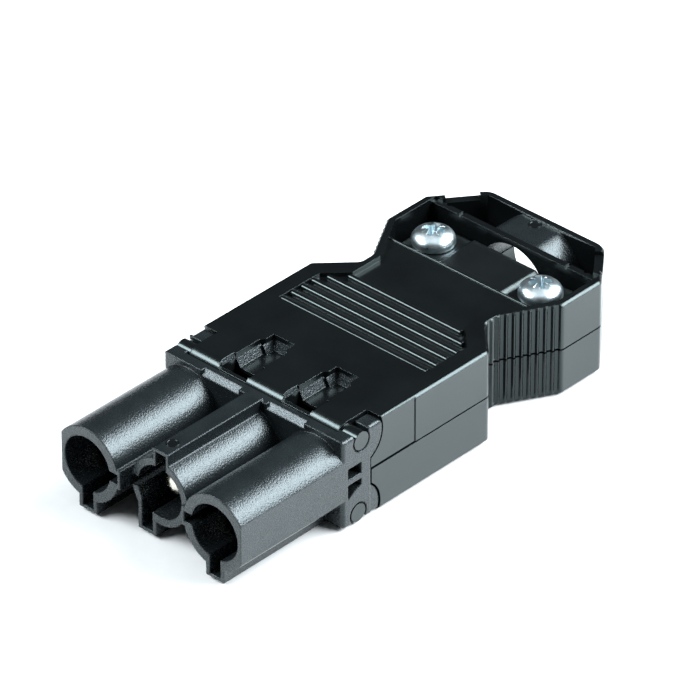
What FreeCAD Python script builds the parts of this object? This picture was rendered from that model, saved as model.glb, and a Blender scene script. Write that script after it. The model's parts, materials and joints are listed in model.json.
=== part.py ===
"""Three-pole AC plug: keyed contact tubes, two half-shells hinged on them and a screwed cable clamp.

Millimetres, +Z up, +Y towards the cable, +X to the right when seen from the cable's side.
The shells are drawn from the lower pivot (y = 0) and from the flat underside (z = 0).
"""
import FreeCAD, Part
import Sketcher
import math
import os

DIMENSIONS = (
    # Overall outline of the two half-shells
    ("half_width", 18.0), ("height", 16.0), ("parting_gap", 0.3), ("shoulder_y", 28.4), ("shoulder_cut", 5.3),
    ("waist_length", 2.6), ("flare_length", 8.9), ("head_length", 8.6), ("head_inset", 0.2),
    ("rear_cut", 6.3), ("rear_length", 8.0), ("corner_round", 1.2), ("rear_round", 2.6),
    ("edge_break", 0.4), ("shell_wall", 1.4), ("roof_wall", 1.8),
    ("overcut", 1.0),
    # Pivots of the half-shells
    ("upper_pivot_y", 0.7), ("upper_pivot_drop", 1.95), ("lower_pivot_y", 0.0), ("lower_pivot_z", 1.7),
    ("pivot_pin_radius", 1.5), ("pivot_play", 0.06), ("ear_radius", 4.5), ("ear_thickness", 2.7),
    ("ear_gap", 0.3), ("ear_step", 0.15), ("ear_round", 0.6), ("notch_relief", 0.25), ("relief_depth", 0.5),
    ("seat_gap", 0.3), ("plate_back_y", 2.6),
    # Flange and keyed tubes of the contact carrier
    ("flange_front_y", -3.3), ("flange_inset", 0.5), ("lead_in", 0.9), ("lead_in_from_x", 2.75),
    ("lead_in_length", 7.55), ("tube_inset", 5.2), ("axis_rise", 0.5), ("tube_front_y", -24.8),
    ("middle_set_back", 1.9), ("tube_bore_radius", 4.6), ("tube_wall", 1.6), ("middle_bore_radius", 4.4),
    ("middle_wall", 1.2), ("tube_floor", 2.0), ("key_slot", 2.2), ("key_wall", 0.7), ("key_web", 0.45),
    ("key_bottom_z", 0.4), ("side_key_slot", 1.8), ("side_key_reach", 6.6), ("middle_key_offset", 2.6),
    ("fin_drop", 0.2), ("fin_half_width", 1.5), ("fin_offset", 0.3), ("side_hole_depth", 2.0),
    ("side_hole_front_y", -2.2), ("side_hole_back_y", 0.7), ("side_hole_reach", 2.4), ("side_bar", 0.9),
    ("arch_front_reach", 3.0), ("arch_middle_reach", 2.1), ("arch_back_reach", 1.55),
    # Terminal tray behind the flange
    ("tray_drop", 4.9), ("tray_floor", 1.0), ("tray_rise", 3.1), ("tray_wall", 0.9), ("tray_play", 0.2),
    ("tray_lip", 1.5),
    # Contacts and terminals
    ("pin_radius", 2.0), ("pin_play", 0.05), ("outer_tip_depth", 6.4), ("middle_tip_depth", 2.5),
    ("tip_break", 0.5), ("shank_radius", 1.8), ("shank_relief", 0.3), ("pin_neck", 1.8),
    ("block_width", 5.6), ("block_height", 5.8), ("block_length", 12.6), ("block_front_wall", 2.0),
    ("wire_slot", 4.2), ("wire_slot_floor", 0.8), ("wire_slot_height", 3.5), ("block_inset", 0.7),
    ("terminal_screw_radius", 1.5), ("terminal_screw_play", 0.05), ("terminal_head_radius", 2.3),
    ("terminal_head", 0.8), ("terminal_travel", 1.2), ("terminal_slot", 0.8),
    ("guard_thickness", 0.5), ("guard_length", 6.0), ("guard_play", 0.2),
    # Roof of the upper shell
    ("window_inner_x", 4.2), ("window_width", 4.3), ("window_step", 0.6), ("window_step_y", 8.0),
    ("window_front_y", -0.2), ("window_back_y", 10.4), ("window_depth", 2.2), ("window_floor", 0.6),
    ("window_ledge", 0.8), ("ledge_rise", 1.4), ("window_bevel", 0.4), ("bevel_depth", 0.75),
    ("latch_bar_drop", 0.8), ("side_step", 0.15),
    ("side_step_y", 12.4),
    ("grip_front_y", 18.2), ("grip_rim", 3.2), ("grip_depth", 0.8), ("rib_lead", 0.5), ("rib_pitch", 2.24),
    ("rib_radius", 0.5), ("rib_count", 6), ("rib_end_gap", 0.25), ("lip_radius", 0.25),
    # Grip flutes on the waist and the flare of both shells
    ("flute_pitch", 1.23), ("flute_lead", 0.87), ("flute_mouth", 1.16), ("flute_floor", 0.5),
    ("flute_depth", 0.34), ("flute_proud", 0.05), ("flare_flutes", 8), ("waist_flutes", 2),
    # Head with the cable clamp
    ("well_length", 11.4), ("bar_thickness", 1.1), ("partition", 1.5), ("tunnel_radius", 6.6),
    ("throat_radius", 6.0), ("hood_wall", 1.8), ("bar_drop", 0.5), ("nick_inset", 7.3), ("nick_width", 0.5),
    ("nick_depth", 0.35), ("notch_from", 3.0), ("notch_to", 8.4), ("notch_depth", 0.8), ("screw_inset", 7.2),
    ("screw_back", 5.8), ("post_radius", 3.2), ("post_play", 0.5), ("post_floor", 1.3),
    ("cable_radius", 4.6), ("cradle_floor", 0.2), ("cradle_thickness", 1.2), ("cradle_pitch", 3.4),
    ("cradle_half_width", 7.2), ("cradle_drop", 1.8),
    # Cable clamp and its screws
    ("clamp_travel", 3.0), ("clamp_length", 8.4), ("clamp_end", 3.6), ("clamp_rise", 1.9), ("clamp_ear", 3.3),
    ("plate_drop", 2.3), ("plate_gap", 0.55), ("plate_slope", 0.6), ("clamp_hole_play", 0.25),
    ("saddle_half_width", 5.6), ("saddle_flat", 3.2), ("saddle_rise", 1.4), ("screw_radius", 1.7),
    ("screw_play", 0.06), ("screw_head_radius", 3.45), ("screw_head", 2.7), ("screw_head_break", 0.9),
    ("screw_tip_play", 0.3), ("recess_width", 0.95), ("recess_half_length", 1.9), ("recess_depth", 1.5),
)

DERIVED = (
    # Sizes that follow from the ones above, so that the pieces stay together when one of those changes
    ("parting_height", "height / 2"),
    ("head_half_width", "half_width - head_inset"),
    ("head_end_y", "shoulder_y + shoulder_cut + waist_length + flare_length + head_length"),
    ("rear_y", "head_end_y + rear_length"),
    ("upper_pivot_z", "height - upper_pivot_drop"),
    ("ear_inner_x", "half_width - ear_thickness"),
    ("lead_in_to_x", "lead_in_from_x + lead_in_length"),
    ("tube_pitch", "half_width - tube_inset"),
    ("tube_axis_z", "parting_height + axis_rise"),
    ("middle_front_y", "tube_front_y + middle_set_back"),
    ("tube_outer_radius", "tube_bore_radius + tube_wall"),
    ("middle_outer_radius", "middle_bore_radius + middle_wall"),
    ("tube_floor_y", "flange_front_y - tube_floor"),
    ("fin_top_z", "height - fin_drop"),
    ("outer_tip_y", "tube_front_y + outer_tip_depth"),
    ("middle_tip_y", "middle_front_y + middle_tip_depth"),
    ("tray_floor_z", "tube_axis_z - tray_drop"),
    ("tray_top_z", "tube_axis_z + tray_rise"),
    ("tray_back_y", "plate_back_y + pin_neck + block_length + tray_lip"),
    ("window_outer_x", "window_inner_x + window_width"),
    ("rib_first_y", "grip_front_y + rib_lead"),
    ("well_front_y", "head_end_y - well_length"),
    ("hood_radius", "tunnel_radius + hood_wall"),
    ("bar_top_z", "height - bar_drop"),
    ("nick_x", "half_width - nick_inset"),
    ("screw_x", "half_width - screw_inset"),
    ("screw_y", "head_end_y - screw_back"),
    ("cradle_top_z", "parting_height - cradle_drop"),
    ("cable_axis_z", "roof_wall + cradle_floor + cable_radius"),
    ("clamp_bottom_z", "parting_height + clamp_rise"),
    ("clamp_top_z", "height - plate_drop"),
    ("clamp_half_width", "screw_x + clamp_end"),
    ("plate_half_width", "screw_x - screw_head_radius - plate_slope - plate_gap"),
    ("post_top_z", "clamp_bottom_z - clamp_travel - post_play"),
    ("screw_tip_z", "post_floor + clamp_travel + screw_tip_play"),
)


# Lengths and volumes closer than this count as equal
TOUCH = 1e-3


class Size:
    """A length that knows both its value and the sheet expression that drives it."""

    def __init__(self, value, text):
        self.value = value
        self.text = text

    def __add__(self, other):
        other = as_size(other)
        return Size(self.value + other.value, f"({self.text} + {other.text})")

    def __sub__(self, other):
        other = as_size(other)
        return Size(self.value - other.value, f"({self.text} - {other.text})")

    def __mul__(self, other):
        other = as_size(other)
        return Size(self.value * other.value, f"({self.text} * {other.text})")

    def __truediv__(self, other):
        other = as_size(other)
        return Size(self.value / other.value, f"({self.text} / {other.text})")

    def __radd__(self, other):
        return as_size(other) + self

    def __rsub__(self, other):
        return as_size(other) - self

    def __rmul__(self, other):
        return as_size(other) * self

    def __neg__(self):
        return Size(-self.value, f"(0 - {self.text})")


class Sheet:
    """Holds one Size for each alias of the document's sheet."""


def as_size(number):
    """Lets plain numbers take part in sums of sizes."""
    return number if isinstance(number, Size) else Size(float(number), repr(number))


def make_sheet(document):
    """Writes the driving dimensions into a sheet and returns them by name."""
    table = document.addObject("Spreadsheet::Sheet", "Sizes")
    formulas = [(alias, "=" + formula) for alias, formula in DERIVED]
    for row, (alias, content) in enumerate(list(DIMENSIONS) + formulas, start=1):
        table.set(f"A{row}", alias)
        table.set(f"B{row}", str(content))
        table.setAlias(f"B{row}", alias)
    document.recompute()
    sheet = Sheet()
    for alias, content in DIMENSIONS + DERIVED:
        setattr(sheet, alias, Size(float(table.get(alias)), f"Sizes.{alias}"))
    return sheet


def make_body(document, label):
    """Adds an empty body whose label names its file, set back so that the part is centred on its origin."""
    body = document.addObject("PartDesign::Body", label)
    body.Label = label
    middle = (size.rear_y + size.tube_front_y) / 2
    body.setExpression(".Placement.Base.y", (-middle).text)
    return body


def draw(body, plane, level, loops):
    """Draws closed loops on an origin plane of the body, moved along the plane's axis to a level."""
    sketch = body.newObject("Sketcher::SketchObject", "Sketch")
    origin = next(item for item in body.Origin.OriginFeatures if item.Role == plane + "_Plane")
    sketch.AttachmentSupport = [(origin, "")]
    sketch.MapMode = "FlatFace"
    along = -level if plane == "XZ" else level
    sketch.setExpression(".AttachmentOffset.Base.z", along.text)
    curves, rules, texts = [], [], []
    for loop in loops:
        if isinstance(loop, tuple):
            add_circle(loop, curves, rules, texts)
        else:
            add_polygon(loop, curves, rules, texts)
    sketch.addGeometry(curves, False)
    sketch.addConstraint(rules)
    for row, text in enumerate(texts):
        if text:
            sketch.setExpression(f"Constraints[{row}]", text)
    return sketch


def add_polygon(corners, curves, rules, texts):
    """Adds a closed chain of lines with each corner tied to the sheet."""
    first = len(curves)
    ends = corners[1:] + corners[:1]
    for start, end in zip(corners, ends):
        start_point = FreeCAD.Vector(start[0].value, start[1].value, 0)
        end_point = FreeCAD.Vector(end[0].value, end[1].value, 0)
        curves.append(Part.LineSegment(start_point, end_point))
    for index, corner in enumerate(corners):
        following = first + (index + 1) % len(corners)
        rules.append(Sketcher.Constraint("Coincident", first + index, 2, following, 1))
        texts.append(None)
        tie_point(first + index, 1, corner, rules, texts)


def add_circle(loop, curves, rules, texts):
    """Adds a circle with its centre and radius tied to the sheet."""
    centre, radius = loop
    middle = FreeCAD.Vector(centre[0].value, centre[1].value, 0)
    curves.append(Part.Circle(middle, FreeCAD.Vector(0, 0, 1), radius.value))
    tie_point(len(curves) - 1, 3, centre, rules, texts)
    rules.append(Sketcher.Constraint("Radius", len(curves) - 1, radius.value))
    texts.append(radius.text)


def tie_point(index, end, point, rules, texts):
    """Fixes one point of a curve at two sheet expressions."""
    for kind, length in zip(("DistanceX", "DistanceY"), point):
        rules.append(Sketcher.Constraint(kind, -1, 1, index, end, length.value))
        texts.append(length.text)


def pad(body, plane, loops, low, high):
    """Adds material between two levels along the plane's axis."""
    low, high = as_size(low), as_size(high)
    level = high if plane == "XZ" else low
    return extrude(body, "PartDesign::Pad", draw(body, plane, level, loops), high - low)


def pocket(body, plane, loops, low, high):
    """Removes material between two levels along the plane's axis."""
    low, high = as_size(low), as_size(high)
    level = low if plane == "XZ" else high
    return extrude(body, "PartDesign::Pocket", draw(body, plane, level, loops), high - low)


def extrude(body, kind, sketch, length):
    feature = body.newObject(kind, kind.split("::")[1])
    feature.Profile = sketch
    feature.setExpression("Length", length.text)
    sketch.Visibility = False
    return feature


def round_edges(body, radius, chosen):
    """Rounds the edges of the body that the given test picks out."""
    dress_edges(body, "PartDesign::Fillet", "Radius", radius, chosen)


def break_edges(body, width, chosen):
    """Bevels the edges of the body that the given test picks out."""
    dress_edges(body, "PartDesign::Chamfer", "Size", width, chosen)


def dress_edges(body, kind, setting, length, chosen):
    body.Document.recompute()
    base = body.Tip
    names = [f"Edge{index}" for index, edge in enumerate(base.Shape.Edges, start=1) if chosen(edge)]
    feature = body.newObject(kind, kind.split("::")[1])
    feature.Base = (base, names)
    feature.setExpression(setting, length.text)


def rectangle(left, right, low, high):
    left, right, low, high = (as_size(value) for value in (left, right, low, high))
    return [(left, low), (right, low), (right, high), (left, high)]


def circle(across, up, radius):
    return ((as_size(across), as_size(up)), radius)


def both_sides(loop):
    """A loop on the right and its mirror image on the left."""
    mirrored = [(-across, up) for across, up in reversed(loop)]
    return [loop, mirrored]


def half_turn_share(rise, run):
    """Tangent of half the angle between a slope and the long axis."""
    value = math.tan(math.atan(rise.value / run.value) / 2)
    return Size(value, f"tan(atan({rise.text} / {run.text}) / 2)")


def slant_length(rise, run):
    """Length of a slope with the given rise and run."""
    return Size(math.hypot(rise.value, run.value), f"sqrt({rise.text}^2 + {run.text}^2)")


def right_outline(inset):
    """Right-hand corners of the plan outline behind the shoulder, moved inwards by an inset."""
    inset = as_size(inset)
    eighth = math.tan(math.pi / 8)
    waist_x = size.half_width - size.shoulder_cut
    waist_y = size.shoulder_y + size.shoulder_cut
    flare_y = waist_y + size.waist_length
    flare = half_turn_share(size.head_half_width - waist_x, size.flare_length)
    side = half_turn_share(size.rear_cut, size.rear_length)
    back = half_turn_share(size.rear_length, size.rear_cut)
    return {
        "shoulder": (size.half_width - inset, size.shoulder_y - eighth * inset),
        "waist": (waist_x - inset, waist_y - eighth * inset),
        "flare": (waist_x - inset, flare_y + flare * inset),
        "head": (size.head_half_width - inset, flare_y + size.flare_length + flare * inset),
        "head_end": (size.head_half_width - inset, size.head_end_y - side * inset),
        "rear": (size.head_half_width - size.rear_cut - back * inset, size.rear_y - inset),
    }


def closed(right):
    """Closes a run of right-hand corners with its mirror image."""
    return right + [(-across, along) for across, along in reversed(right)]


def flare_x(along, inset):
    """Half-width of the flare at a place along it, moved inwards by an inset."""
    corners = right_outline(inset)
    start_x, start_y = corners["flare"]
    end_x, end_y = corners["head"]
    return start_x + (along - start_y) * (end_x - start_x) / (end_y - start_y)


def build_shell(document, label, low, high, pivot_y, roof):
    """Outer form that both half-shells share: outline, rounded corners, broken rim and wire chamber.

    roof tells which way is out: 1 for the upper shell and -1 for the lower one.
    """
    body = make_body(document, label)
    corners = list(right_outline(0).values())
    front = [(size.half_width, pivot_y)]
    pad(body, "XY", [closed(front + corners)], low, high)
    tall, front_y = (high - low).value, pivot_y.value
    rear_y = size.rear_y.value - TOUCH
    round_edges(body, size.corner_round,
                lambda edge: is_upright(edge, tall) and front_y < edge.BoundBox.YMin < rear_y)
    round_edges(body, size.rear_round, lambda edge: is_upright(edge, tall) and edge.BoundBox.YMin > rear_y)
    outer_z = (high if roof > 0 else low).value
    break_edges(body, size.edge_break, lambda edge: is_rim(edge, outer_z, front_y))
    inner_z = high - size.roof_wall if roof > 0 else low + size.roof_wall
    hollow = (low, inner_z) if roof > 0 else (inner_z, high)
    pocket(body, "XY", [chamber_loop(pivot_y)], hollow[0], hollow[1])
    return body


def is_upright(edge, tall):
    box = edge.BoundBox
    return abs(box.ZLength - tall) < TOUCH and box.XLength < TOUCH and box.YLength < TOUCH


def is_rim(edge, level, front):
    box = edge.BoundBox
    flat = abs(box.ZMin - level) < TOUCH and abs(box.ZMax - level) < TOUCH
    return flat and box.YMax > front + TOUCH


def cut_flutes(body, low, high):
    """Grip flutes on both sides, counted back from the head down the flare and then along the waist."""
    corners = right_outline(0)
    (flare_x_start, flare_y_start), (head_x, head_y) = corners["flare"], corners["head"]
    slant = slant_length(head_x - flare_x_start, head_y - flare_y_start)
    slope = ((head_x - flare_x_start) / slant, (head_y - flare_y_start) / slant)
    on_flare = []
    for step in range(int(size.flare_flutes.value)):
        reach = size.flute_lead + step * size.flute_pitch
        middle = (head_x - reach * slope[0], head_y - reach * slope[1])
        on_flare += both_sides(flute(middle, slope))
    past_corner = size.flute_lead + size.flare_flutes * size.flute_pitch - slant
    on_waist = []
    for step in range(int(size.waist_flutes.value)):
        middle = (flare_x_start, flare_y_start - past_corner - step * size.flute_pitch)
        on_waist += both_sides(flute(middle, (as_size(0), as_size(1))))
    pocket(body, "XY", on_flare, low, high)
    pocket(body, "XY", on_waist, low, high)


def flute(middle, slope):
    """One groove across a wall that runs in the direction of the slope."""
    corners = []
    for along, out in ((-size.flute_mouth / 2, size.flute_proud), (-size.flute_floor / 2, -size.flute_depth),
                       (size.flute_floor / 2, -size.flute_depth), (size.flute_mouth / 2, size.flute_proud)):
        across = middle[0] + along * slope[0] + out * slope[1]
        corners.append((across, middle[1] + along * slope[1] - out * slope[0]))
    return corners


def chamber_loop(front_y):
    """Wire chamber from the front, round the waist, to the partition before the clamp."""
    corners = right_outline(size.shell_wall)
    back_y = size.well_front_y - size.partition
    right = [(size.half_width - size.shell_wall, front_y - size.ear_radius)]
    right += [corners["shoulder"], corners["waist"], corners["flare"]]
    right.append((flare_x(back_y, size.shell_wall), back_y))
    return closed(right)


def well_loop():
    """Open well of the clamp between the partition and the rear bar."""
    corners = right_outline(size.shell_wall)
    start = (flare_x(size.well_front_y, size.shell_wall), size.well_front_y)
    return closed([start, corners["head"], (corners["head"][0], size.head_end_y)])


def rear_loop():
    """Compartment between the rear bar and the rear wall."""
    corners = right_outline(size.shell_wall)
    front_y = size.head_end_y + size.bar_thickness
    cut_x = corners["head_end"][0] - (front_y - corners["head_end"][1]) * size.rear_cut / size.rear_length
    return closed([(cut_x, front_y), corners["rear"]])


def tunnel(body):
    """Round cable tunnel through the rear bar and wall, and a narrower throat before it."""
    wide = circle(0, size.parting_height, size.tunnel_radius)
    pocket(body, "XZ", [wide], size.head_end_y, size.rear_y + size.overcut)
    narrow = circle(0, size.parting_height, size.throat_radius)
    pocket(body, "XZ", [narrow], size.well_front_y - size.partition - size.overcut, size.head_end_y)


def clear_ears(body, pivot_y, pivot_z, low, high):
    """Frees the shell's sides from the carrier's side plates and round ears."""
    inner_x = size.ear_inner_x - size.ear_gap
    side = size.half_width + size.ear_gap
    back_y = size.plate_back_y + size.ear_gap
    disc = circle(pivot_y, pivot_z, size.ear_radius + size.ear_gap)
    pocket(body, "XY", both_sides(rectangle(inner_x, side, -size.ear_radius, back_y)), low, high)
    pocket(body, "YZ", [disc], inner_x, side)
    pocket(body, "YZ", [disc], -side, -inner_x)


def add_pivot(body, pivot_y, pivot_z, barrel_radius):
    """Round hinge barrel along the front edge, with a thinner pin at each end."""
    barrel_x = size.ear_inner_x - size.ear_gap
    pin_x = size.half_width
    pad(body, "YZ", [circle(pivot_y, pivot_z, barrel_radius)], -barrel_x, barrel_x)
    pad(body, "YZ", [circle(pivot_y, pivot_z, size.pivot_pin_radius)], -pin_x, pin_x)


def notch_loop():
    """Stretch of the rear corner's slanting wall where its top edge is cut down."""
    corner_x, corner_y = right_outline(0)["head_end"]
    slant = slant_length(size.rear_cut, size.rear_length)
    across, along = size.rear_cut / slant, size.rear_length / slant
    loop = []
    for reach, depth in ((size.notch_from, -size.corner_round), (size.notch_to, -size.corner_round),
                         (size.notch_to, size.shell_wall * 2), (size.notch_from, size.shell_wall * 2)):
        loop.append((corner_x - across * reach - along * depth, corner_y + along * reach - across * depth))
    return loop


def build_upper_housing(document):
    low = size.parting_height + size.parting_gap / 2
    body = build_shell(document, "upper_housing", low, size.height, size.upper_pivot_y, 1)
    above = size.height + size.edge_break
    pocket(body, "XY", [well_loop(), rear_loop()], low, above)

    hood_front = size.head_end_y + size.bar_thickness / 2
    hood_back = size.rear_y - size.shell_wall
    hood = circle(0, size.parting_height, size.hood_radius)
    pad(body, "XZ", [hood], hood_front, hood_back)
    under_x = size.hood_radius + size.overcut
    under = rectangle(-under_x, under_x, hood_front, hood_back)
    pocket(body, "XY", [under], size.parting_height - under_x, low)
    bar_x = size.head_half_width - size.shell_wall
    bar_back = size.head_end_y + size.bar_thickness
    bar_front = size.head_end_y - size.overcut
    crest = [(bar_x, bar_front), (bar_x, bar_back)]
    crest += [(size.hood_radius, bar_back), (size.hood_radius, hood_back)]
    pocket(body, "XY", [closed(crest)], size.bar_top_z, above + size.hood_radius)
    nick = rectangle(size.nick_x - size.nick_width / 2, size.nick_x + size.nick_width / 2,
                     size.head_end_y - size.nick_width, size.head_end_y + size.bar_thickness)
    pocket(body, "XY", both_sides(nick), size.bar_top_z - size.nick_depth, above)
    tunnel(body)
    pocket(body, "XY", both_sides(notch_loop()), size.height - size.notch_depth, above)

    cut_grip(body, above)
    add_ribs(body)
    cut_windows(body, above)
    step = rectangle(size.half_width - size.side_step, size.half_width + size.overcut,
                     size.upper_pivot_y - size.overcut, size.side_step_y)
    pocket(body, "XY", both_sides(step), low, above)
    clear_ears(body, size.upper_pivot_y, size.upper_pivot_z, low, above)
    add_pivot(body, size.upper_pivot_y, size.upper_pivot_z, size.height - size.upper_pivot_z)
    cut_latch_bars(body, above)
    cut_flutes(body, low, size.height)
    return body


def cut_grip(body, above):
    """Shallow thumb recess from the shoulders through the waist, with a fine lip before the clamp's well."""
    rim = right_outline(size.grip_rim)
    neck = right_outline(size.shell_wall)
    sill_y = rim["shoulder"][1] + rim["shoulder"][0] - neck["waist"][0]
    back_y = size.well_front_y + size.edge_break
    right = [(rim["shoulder"][0], size.grip_front_y), rim["shoulder"], (neck["waist"][0], sill_y)]
    right += [neck["flare"], (flare_x(back_y, size.shell_wall), back_y)]
    pocket(body, "XY", [closed(right)], size.height - size.grip_depth, above)
    lip_y = size.well_front_y - size.lip_radius
    lip_x = flare_x(lip_y, size.shell_wall)
    pad(body, "YZ", [circle(lip_y, size.height - size.grip_depth, size.lip_radius)], -lip_x, lip_x)


def add_ribs(body):
    """Round cross ribs in the thumb recess, level with the roof and shortened along the shoulders."""
    corner_x, corner_y = right_outline(size.grip_rim)["shoulder"]
    full = corner_x - size.rib_end_gap
    long_ribs = []
    for number in range(int(size.rib_count.value)):
        along = size.rib_first_y + number * size.rib_pitch
        profile = circle(along, size.height - size.rib_radius, size.rib_radius)
        beyond = along + size.rib_radius - corner_y
        if beyond.value > 0:
            pad(body, "YZ", [profile], beyond - full, full - beyond)
        else:
            long_ribs.append(profile)
    pad(body, "YZ", long_ribs, -full, full)


def cut_windows(body, above):
    """Two blind latch windows, a little wider in front of their step, with sloped ledges at the floor."""
    inner, outer = size.window_inner_x, size.window_outer_x
    front_inner, front_outer = inner - size.window_step, outer + size.window_step
    front_y, back_y = size.window_front_y, size.window_back_y
    narrow_y = size.window_step_y + size.window_step
    floor_z = size.height - size.window_depth
    tub_front = size.plate_back_y + size.ear_gap
    tub = rectangle(front_inner - size.window_floor, front_outer + size.window_floor,
                    tub_front, back_y + size.window_floor)
    pad(body, "XY", both_sides(tub), floor_z - size.window_floor, size.height - size.roof_wall / 2)
    loop = [(front_inner, front_y), (front_outer, front_y), (front_outer, size.window_step_y),
            (outer, narrow_y), (outer, back_y), (inner, back_y), (inner, narrow_y),
            (front_inner, size.window_step_y)]
    pocket(body, "XY", both_sides(loop), floor_z, above)
    wide_ledges = both_sides(ledge(front_inner, floor_z, 1)) + both_sides(ledge(front_outer, floor_z, -1))
    pad(body, "XZ", wide_ledges, tub_front, narrow_y)
    narrow_ledges = both_sides(ledge(inner, floor_z, 1)) + both_sides(ledge(outer, floor_z, -1))
    pad(body, "XZ", narrow_ledges, size.window_step_y, back_y)
    pad(body, "YZ", [ledge(back_y, floor_z, -1)], inner, outer)
    pad(body, "YZ", [ledge(back_y, floor_z, -1)], -outer, -inner)


def ledge(wall, floor, side):
    """Three-cornered profile in the corner between a wall and the window's floor."""
    return [(wall, floor), (wall + side * size.window_ledge, floor), (wall, floor + size.ledge_rise)]


def cut_latch_bars(body, above):
    """Opens the barrel behind each latch bar, bevels the opening and lowers the bar in front of it."""
    inner = size.window_inner_x - size.window_step
    outer = size.window_outer_x + size.window_step
    barrel = size.height - size.upper_pivot_z
    behind = rectangle(inner, outer, size.window_front_y, size.upper_pivot_y + barrel)
    pocket(body, "XY", both_sides(behind), size.upper_pivot_z - barrel, above)
    bevels = both_sides(edge_bevel(inner, 1)) + both_sides(edge_bevel(outer, -1))
    pocket(body, "XZ", bevels, size.window_front_y, size.plate_back_y + size.ear_gap)
    bar = rectangle(inner, outer, size.upper_pivot_y - barrel - size.overcut, size.window_front_y)
    pocket(body, "XY", both_sides(bar), size.height - size.latch_bar_drop, above)


def edge_bevel(wall, side):
    """Three-cornered profile that slants the roof's edge over a window's wall."""
    top = size.height
    return [(wall - side * size.window_bevel, top), (wall, top - size.bevel_depth), (wall, top)]


def build_lower_housing(document):
    high = size.parting_height - size.parting_gap / 2
    zero = as_size(0)
    body = build_shell(document, "lower_housing", zero, high, size.lower_pivot_y, -1)
    pocket(body, "XY", [well_loop(), rear_loop()], size.roof_wall, high)

    hood_x = size.hood_radius
    hood_front = size.head_end_y + size.bar_thickness / 2
    hood = rectangle(-hood_x, hood_x, hood_front, size.rear_y - size.shell_wall / 2)
    pad(body, "XY", [hood], size.roof_wall / 2, high)
    tunnel(body)
    add_cradle(body)
    pad(body, "XY", screw_circles(size.post_radius), size.roof_wall / 2, size.post_top_z)
    hole = size.screw_radius + size.screw_play
    pocket(body, "XY", screw_circles(hole), size.post_floor, size.post_top_z + size.overcut)
    clear_ears(body, size.lower_pivot_y, size.lower_pivot_z, -size.parting_gap, high)
    add_pivot(body, size.lower_pivot_y, size.lower_pivot_z, size.lower_pivot_z)
    cut_flutes(body, zero, high)
    return body


def screw_circles(radius):
    """A circle about the axis of each clamp screw."""
    return [circle(side * size.screw_x, size.screw_y, radius) for side in (-1, 1)]


def add_cradle(body):
    """Three hollowed cross ribs under the clamp that carry the cable."""
    half = size.cradle_half_width
    ribs = []
    for step in (-1, 0, 1):
        middle = size.screw_y + step * size.cradle_pitch
        front, back = middle - size.cradle_thickness / 2, middle + size.cradle_thickness / 2
        ribs.append(rectangle(-half, half, front, back))
    pad(body, "XY", ribs, size.roof_wall / 2, size.cradle_top_z)
    reach = size.cradle_pitch + size.cradle_thickness
    hollow = circle(0, size.cable_axis_z, size.cable_radius)
    pocket(body, "XZ", [hollow], size.screw_y - reach, size.screw_y + reach)


def build_contact_carrier(document):
    body = make_body(document, "contact_carrier")
    top = size.height - size.flange_inset
    bottom = size.flange_inset
    inner_x = size.ear_inner_x - size.ear_gap
    flange = rectangle(-size.half_width, size.half_width, bottom, top)
    pad(body, "XZ", [flange], size.flange_front_y, size.plate_back_y)
    cut_side_plates(body, top, bottom)
    seat_barrels(body, inner_x, top, bottom)
    cut_lead_in(body, top)
    ear_x, front, crest = (size.half_width - size.ear_step).value, size.flange_front_y.value, top.value
    round_edges(body, size.ear_round, lambda edge: is_plate_edge(edge, ear_x, front, crest))
    add_tubes(body)
    add_tray(body)
    bore_tubes(body)
    return body


def cut_side_plates(body, top, bottom):
    """Round ears with open pivot notches, and the two side holes between them."""
    notch_radius = size.pivot_pin_radius + size.pivot_play
    pivots = ((size.upper_pivot_y, size.upper_pivot_z), (size.lower_pivot_y, size.lower_pivot_z))
    ears = [circle(along, up, size.ear_radius) for along, up in pivots]
    notches = [circle(along, up, notch_radius) for along, up in pivots]
    mouths = [rectangle(size.upper_pivot_y - notch_radius, size.upper_pivot_y + notch_radius,
                        size.upper_pivot_z, top + size.overcut),
              rectangle(size.lower_pivot_y - notch_radius, size.lower_pivot_y + notch_radius,
                        bottom - size.overcut, size.lower_pivot_z)]
    front_y, back_y = size.side_hole_front_y, size.side_hole_back_y
    holes = [rectangle(front_y, back_y, size.parting_height + size.side_bar / 2,
                       size.parting_height + size.side_hole_reach), arched_hole(front_y, back_y)]
    deep = size.half_width - size.side_hole_depth
    reliefs = [circle(along, up, notch_radius + size.notch_relief) for along, up in pivots]
    step = rectangle(size.plate_back_y, size.plate_back_y + size.ear_radius, bottom, top)
    for side in (1, -1):
        near, far = sorted((side * size.ear_inner_x, side * size.half_width), key=lambda item: item.value)
        inner, outer = sorted((side * deep, side * size.half_width), key=lambda item: item.value)
        pad(body, "YZ", ears, near, far)
        pocket(body, "YZ", notches, near, far)
        pocket(body, "YZ", mouths, near, far)
        pocket(body, "YZ", holes, inner, outer)
        skin = [side * (size.half_width - depth) for depth in (size.relief_depth, size.ear_step, as_size(0))]
        relief_low, relief_high = sorted((skin[0], skin[2]), key=lambda item: item.value)
        pocket(body, "YZ", reliefs, relief_low, relief_high)
        step_low, step_high = sorted((skin[1], skin[2]), key=lambda item: item.value)
        pocket(body, "YZ", [step], step_low, step_high)
    reach = size.ear_radius * 2
    trims = [rectangle(size.flange_front_y - reach, size.flange_front_y, bottom, top),
             rectangle(-reach, reach, top, top + reach), rectangle(-reach, reach, bottom - reach, bottom)]
    side = size.half_width + size.overcut
    pocket(body, "YZ", trims, -side, side)


def arched_hole(front_y, back_y):
    """Lower side hole, whose floor follows the round of the ear."""
    middle_y = (front_y + back_y) / 2
    parting = size.parting_height
    ceiling = parting - size.side_bar / 2
    return [(front_y, parting - size.arch_front_reach), (middle_y, parting - size.arch_middle_reach),
            (back_y, parting - size.arch_back_reach), (back_y, ceiling), (front_y, ceiling)]


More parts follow.
